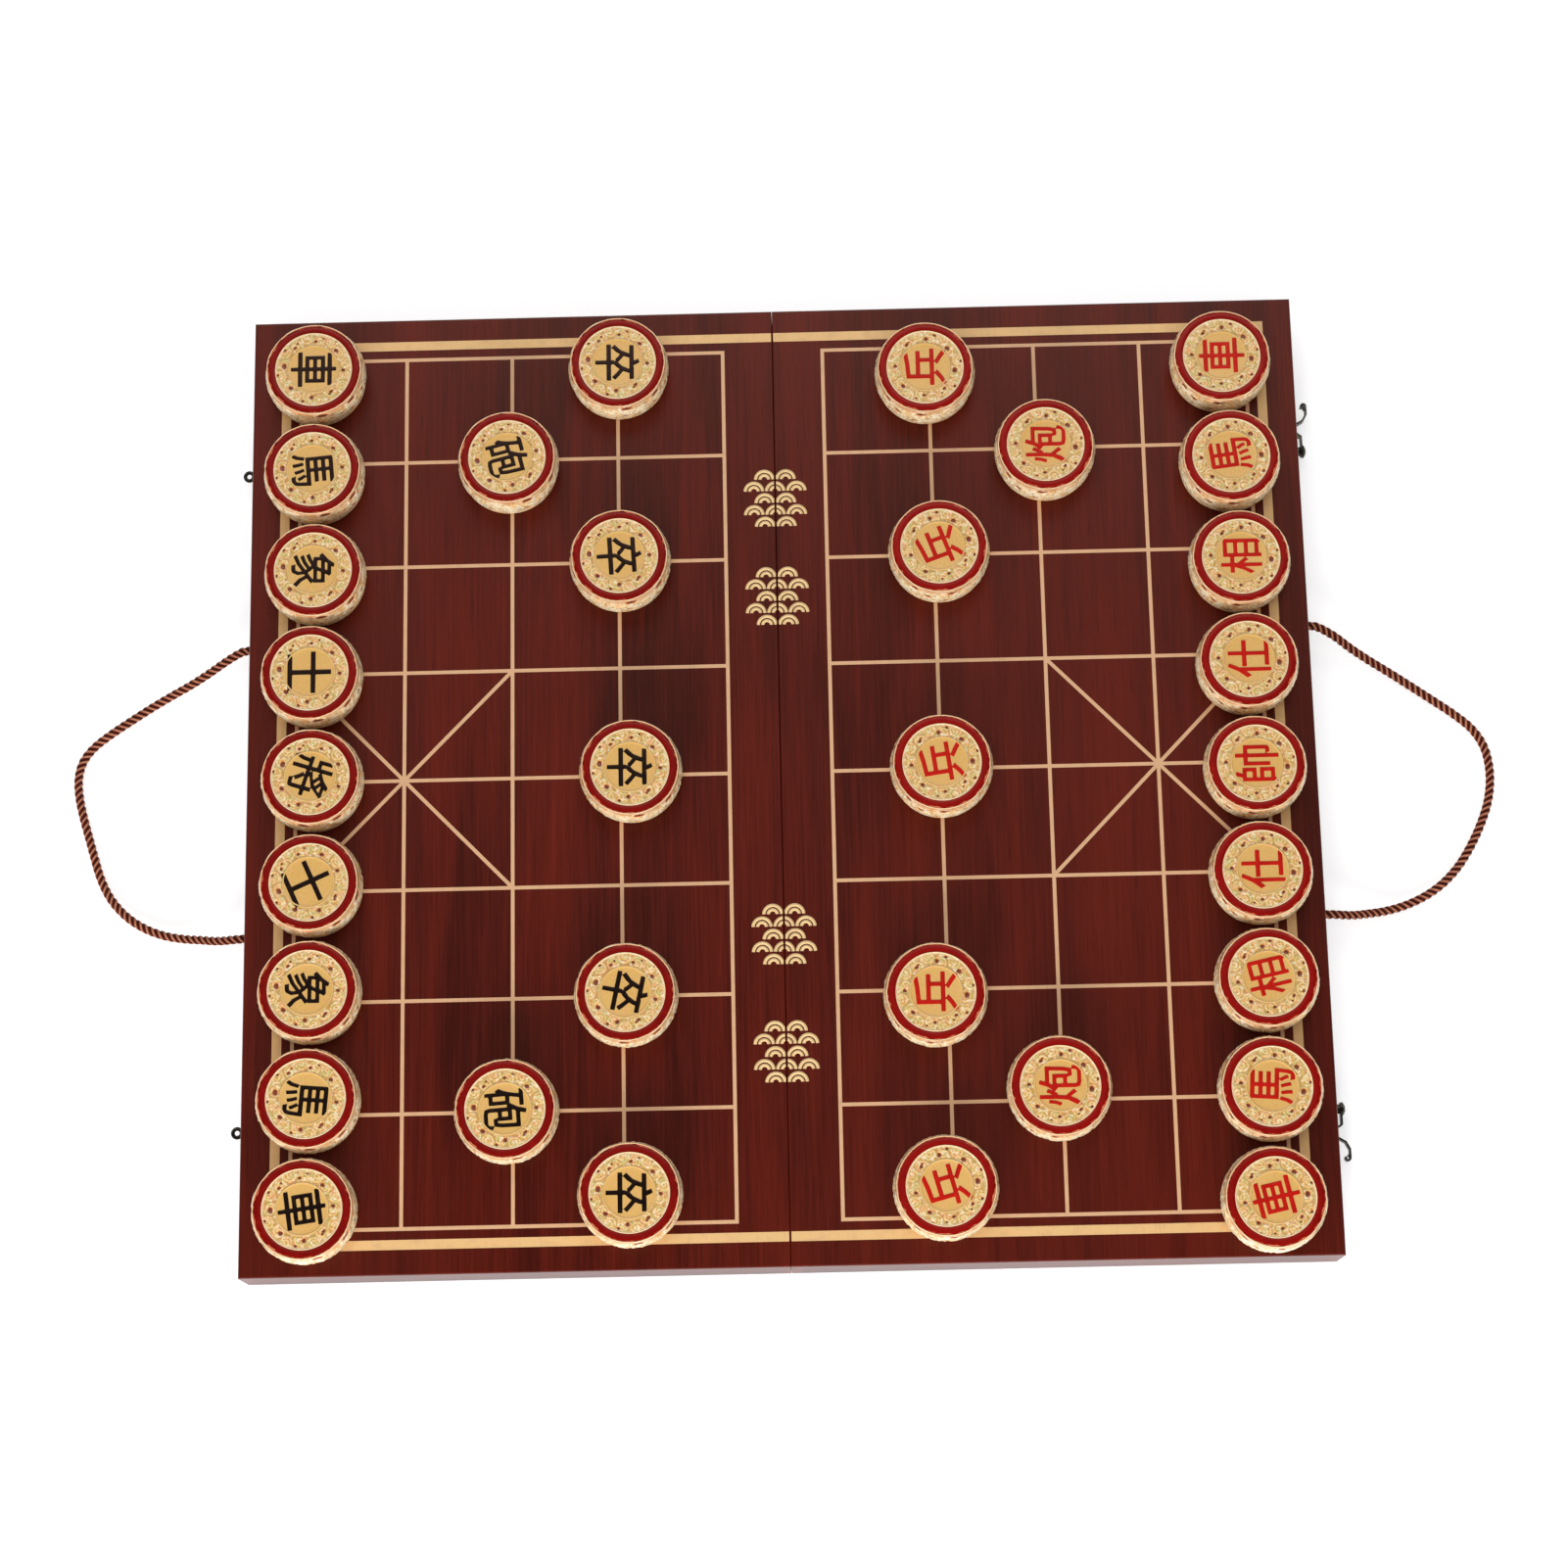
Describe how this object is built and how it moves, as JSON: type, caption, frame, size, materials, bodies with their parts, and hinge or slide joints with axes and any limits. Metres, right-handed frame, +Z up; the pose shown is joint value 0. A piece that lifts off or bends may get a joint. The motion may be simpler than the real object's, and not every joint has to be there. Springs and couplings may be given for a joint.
{
  "type": "folding board game box",
  "caption": "Folding xiangqi box: two hinged wooden trays whose backs make the playing board, with rope handles, hook latches and a full set of drum-shaped pieces.",
  "frame": {"origin": "on the table under the middle of the seam, with the box laid open", "axes": "+X along the board from the dark army to the red army, +Y along the seam away from the viewer, +Z up"},
  "size_m": [0.6648, 0.453, 0.0485],
  "materials": {
    "lacquered_wood": "dark red-brown stain under satin lacquer",
    "gold_line": "pale gold filled lines",
    "felt": "short dark green felt",
    "rope": "twisted cord, dark brown and tan strands",
    "latch_metal": "antique bronze, worn",
    "hinge_metal": "antique brass, satin",
    "game_piece": "pale gold moulded face with a dark red ring, under gloss varnish"
  },
  "bodies": {
    "left_half": {"left_panel": "lacquered_wood", "left_end_wall": "lacquered_wood", "left_seam_wall": "lacquered_wood", "left_front_wall": "lacquered_wood", "left_back_wall": "lacquered_wood", "left_felt": "felt", "left_inlay": "gold_line", "left_rope": "rope", "left_knots": "rope", "screw_eyes": "latch_metal", "left_hinge_leaves": "hinge_metal", "hinge_pins": "hinge_metal", "left_hinge_screws": "hinge_metal"},
    "right_half": {"right_panel": "lacquered_wood", "right_end_wall": "lacquered_wood", "right_seam_wall": "lacquered_wood", "right_front_wall": "lacquered_wood", "right_back_wall": "lacquered_wood", "right_felt": "felt", "right_inlay": "gold_line", "right_rope": "rope", "right_knots": "rope", "hook_pivots": "latch_metal", "right_hinge_leaves": "hinge_metal", "right_hinge_screws": "hinge_metal"},
    "back_hook": {"back_hook": "latch_metal"},
    "front_hook": {"front_hook": "latch_metal"},
    "dark_chariot_far": {"dark_chariot_far": "game_piece"},
    "dark_horse_far": {"dark_horse_far": "game_piece"},
    "dark_elephant_far": {"dark_elephant_far": "game_piece"},
    "dark_advisor_far": {"dark_advisor_far": "game_piece"},
    "dark_general": {"dark_general": "game_piece"},
    "dark_advisor_near": {"dark_advisor_near": "game_piece"},
    "dark_elephant_near": {"dark_elephant_near": "game_piece"},
    "dark_horse_near": {"dark_horse_near": "game_piece"},
    "dark_chariot_near": {"dark_chariot_near": "game_piece"},
    "dark_cannon_far": {"dark_cannon_far": "game_piece"},
    "dark_cannon_near": {"dark_cannon_near": "game_piece"},
    "dark_soldier_1": {"dark_soldier_1": "game_piece"},
    "dark_soldier_2": {"dark_soldier_2": "game_piece"},
    "dark_soldier_3": {"dark_soldier_3": "game_piece"},
    "dark_soldier_4": {"dark_soldier_4": "game_piece"},
    "dark_soldier_5": {"dark_soldier_5": "game_piece"},
    "red_chariot_far": {"red_chariot_far": "game_piece"},
    "red_horse_far": {"red_horse_far": "game_piece"},
    "red_elephant_far": {"red_elephant_far": "game_piece"},
    "red_advisor_far": {"red_advisor_far": "game_piece"},
    "red_general": {"red_general": "game_piece"},
    "red_advisor_near": {"red_advisor_near": "game_piece"},
    "red_elephant_near": {"red_elephant_near": "game_piece"},
    "red_horse_near": {"red_horse_near": "game_piece"},
    "red_chariot_near": {"red_chariot_near": "game_piece"},
    "red_cannon_far": {"red_cannon_far": "game_piece"},
    "red_cannon_near": {"red_cannon_near": "game_piece"},
    "red_soldier_1": {"red_soldier_1": "game_piece"},
    "red_soldier_2": {"red_soldier_2": "game_piece"},
    "red_soldier_3": {"red_soldier_3": "game_piece"},
    "red_soldier_4": {"red_soldier_4": "game_piece"},
    "red_soldier_5": {"red_soldier_5": "game_piece"}
  },
  "joints": [
    {"name": "fold", "type": "hinge", "parent": "left_half", "child": "right_half", "pos_m": [0, 0, 0.0015], "axis": [0, 1, 0], "range_deg": [0, 180]},
    {"name": "back_hook_swing", "type": "hinge", "parent": "right_half", "child": "back_hook", "pos_m": [0.25145, 0.158, 0.007], "axis": [-1, 0, 0], "range_deg": [-90, 90]},
    {"name": "front_hook_swing", "type": "hinge", "parent": "right_half", "child": "front_hook", "pos_m": [0.25145, -0.158, 0.007], "axis": [1, 0, 0], "range_deg": [-90, 90]},
    {"name": "dark_chariot_far_lift", "type": "slide", "parent": "left_half", "child": "dark_chariot_far", "axis": [0, 0, 1], "range_m": [0, 0.06]},
    {"name": "dark_horse_far_lift", "type": "slide", "parent": "left_half", "child": "dark_horse_far", "axis": [0, 0, 1], "range_m": [0, 0.06]},
    {"name": "dark_elephant_far_lift", "type": "slide", "parent": "left_half", "child": "dark_elephant_far", "axis": [0, 0, 1], "range_m": [0, 0.06]},
    {"name": "dark_advisor_far_lift", "type": "slide", "parent": "left_half", "child": "dark_advisor_far", "axis": [0, 0, 1], "range_m": [0, 0.06]},
    {"name": "dark_general_lift", "type": "slide", "parent": "left_half", "child": "dark_general", "axis": [0, 0, 1], "range_m": [0, 0.06]},
    {"name": "dark_advisor_near_lift", "type": "slide", "parent": "left_half", "child": "dark_advisor_near", "axis": [0, 0, 1], "range_m": [0, 0.06]},
    {"name": "dark_elephant_near_lift", "type": "slide", "parent": "left_half", "child": "dark_elephant_near", "axis": [0, 0, 1], "range_m": [0, 0.06]},
    {"name": "dark_horse_near_lift", "type": "slide", "parent": "left_half", "child": "dark_horse_near", "axis": [0, 0, 1], "range_m": [0, 0.06]},
    {"name": "dark_chariot_near_lift", "type": "slide", "parent": "left_half", "child": "dark_chariot_near", "axis": [0, 0, 1], "range_m": [0, 0.06]},
    {"name": "dark_cannon_far_lift", "type": "slide", "parent": "left_half", "child": "dark_cannon_far", "axis": [0, 0, 1], "range_m": [0, 0.06]},
    {"name": "dark_cannon_near_lift", "type": "slide", "parent": "left_half", "child": "dark_cannon_near", "axis": [0, 0, 1], "range_m": [0, 0.06]},
    {"name": "dark_soldier_1_lift", "type": "slide", "parent": "left_half", "child": "dark_soldier_1", "axis": [0, 0, 1], "range_m": [0, 0.06]},
    {"name": "dark_soldier_2_lift", "type": "slide", "parent": "left_half", "child": "dark_soldier_2", "axis": [0, 0, 1], "range_m": [0, 0.06]},
    {"name": "dark_soldier_3_lift", "type": "slide", "parent": "left_half", "child": "dark_soldier_3", "axis": [0, 0, 1], "range_m": [0, 0.06]},
    {"name": "dark_soldier_4_lift", "type": "slide", "parent": "left_half", "child": "dark_soldier_4", "axis": [0, 0, 1], "range_m": [0, 0.06]},
    {"name": "dark_soldier_5_lift", "type": "slide", "parent": "left_half", "child": "dark_soldier_5", "axis": [0, 0, 1], "range_m": [0, 0.06]},
    {"name": "red_chariot_far_lift", "type": "slide", "parent": "right_half", "child": "red_chariot_far", "axis": [0, 0, 1], "range_m": [0, 0.06]},
    {"name": "red_horse_far_lift", "type": "slide", "parent": "right_half", "child": "red_horse_far", "axis": [0, 0, 1], "range_m": [0, 0.06]},
    {"name": "red_elephant_far_lift", "type": "slide", "parent": "right_half", "child": "red_elephant_far", "axis": [0, 0, 1], "range_m": [0, 0.06]},
    {"name": "red_advisor_far_lift", "type": "slide", "parent": "right_half", "child": "red_advisor_far", "axis": [0, 0, 1], "range_m": [0, 0.06]},
    {"name": "red_general_lift", "type": "slide", "parent": "right_half", "child": "red_general", "axis": [0, 0, 1], "range_m": [0, 0.06]},
    {"name": "red_advisor_near_lift", "type": "slide", "parent": "right_half", "child": "red_advisor_near", "axis": [0, 0, 1], "range_m": [0, 0.06]},
    {"name": "red_elephant_near_lift", "type": "slide", "parent": "right_half", "child": "red_elephant_near", "axis": [0, 0, 1], "range_m": [0, 0.06]},
    {"name": "red_horse_near_lift", "type": "slide", "parent": "right_half", "child": "red_horse_near", "axis": [0, 0, 1], "range_m": [0, 0.06]},
    {"name": "red_chariot_near_lift", "type": "slide", "parent": "right_half", "child": "red_chariot_near", "axis": [0, 0, 1], "range_m": [0, 0.06]},
    {"name": "red_cannon_far_lift", "type": "slide", "parent": "right_half", "child": "red_cannon_far", "axis": [0, 0, 1], "range_m": [0, 0.06]},
    {"name": "red_cannon_near_lift", "type": "slide", "parent": "right_half", "child": "red_cannon_near", "axis": [0, 0, 1], "range_m": [0, 0.06]},
    {"name": "red_soldier_1_lift", "type": "slide", "parent": "right_half", "child": "red_soldier_1", "axis": [0, 0, 1], "range_m": [0, 0.06]},
    {"name": "red_soldier_2_lift", "type": "slide", "parent": "right_half", "child": "red_soldier_2", "axis": [0, 0, 1], "range_m": [0, 0.06]},
    {"name": "red_soldier_3_lift", "type": "slide", "parent": "right_half", "child": "red_soldier_3", "axis": [0, 0, 1], "range_m": [0, 0.06]},
    {"name": "red_soldier_4_lift", "type": "slide", "parent": "right_half", "child": "red_soldier_4", "axis": [0, 0, 1], "range_m": [0, 0.06]},
    {"name": "red_soldier_5_lift", "type": "slide", "parent": "right_half", "child": "red_soldier_5", "axis": [0, 0, 1], "range_m": [0, 0.06]}
  ]
}
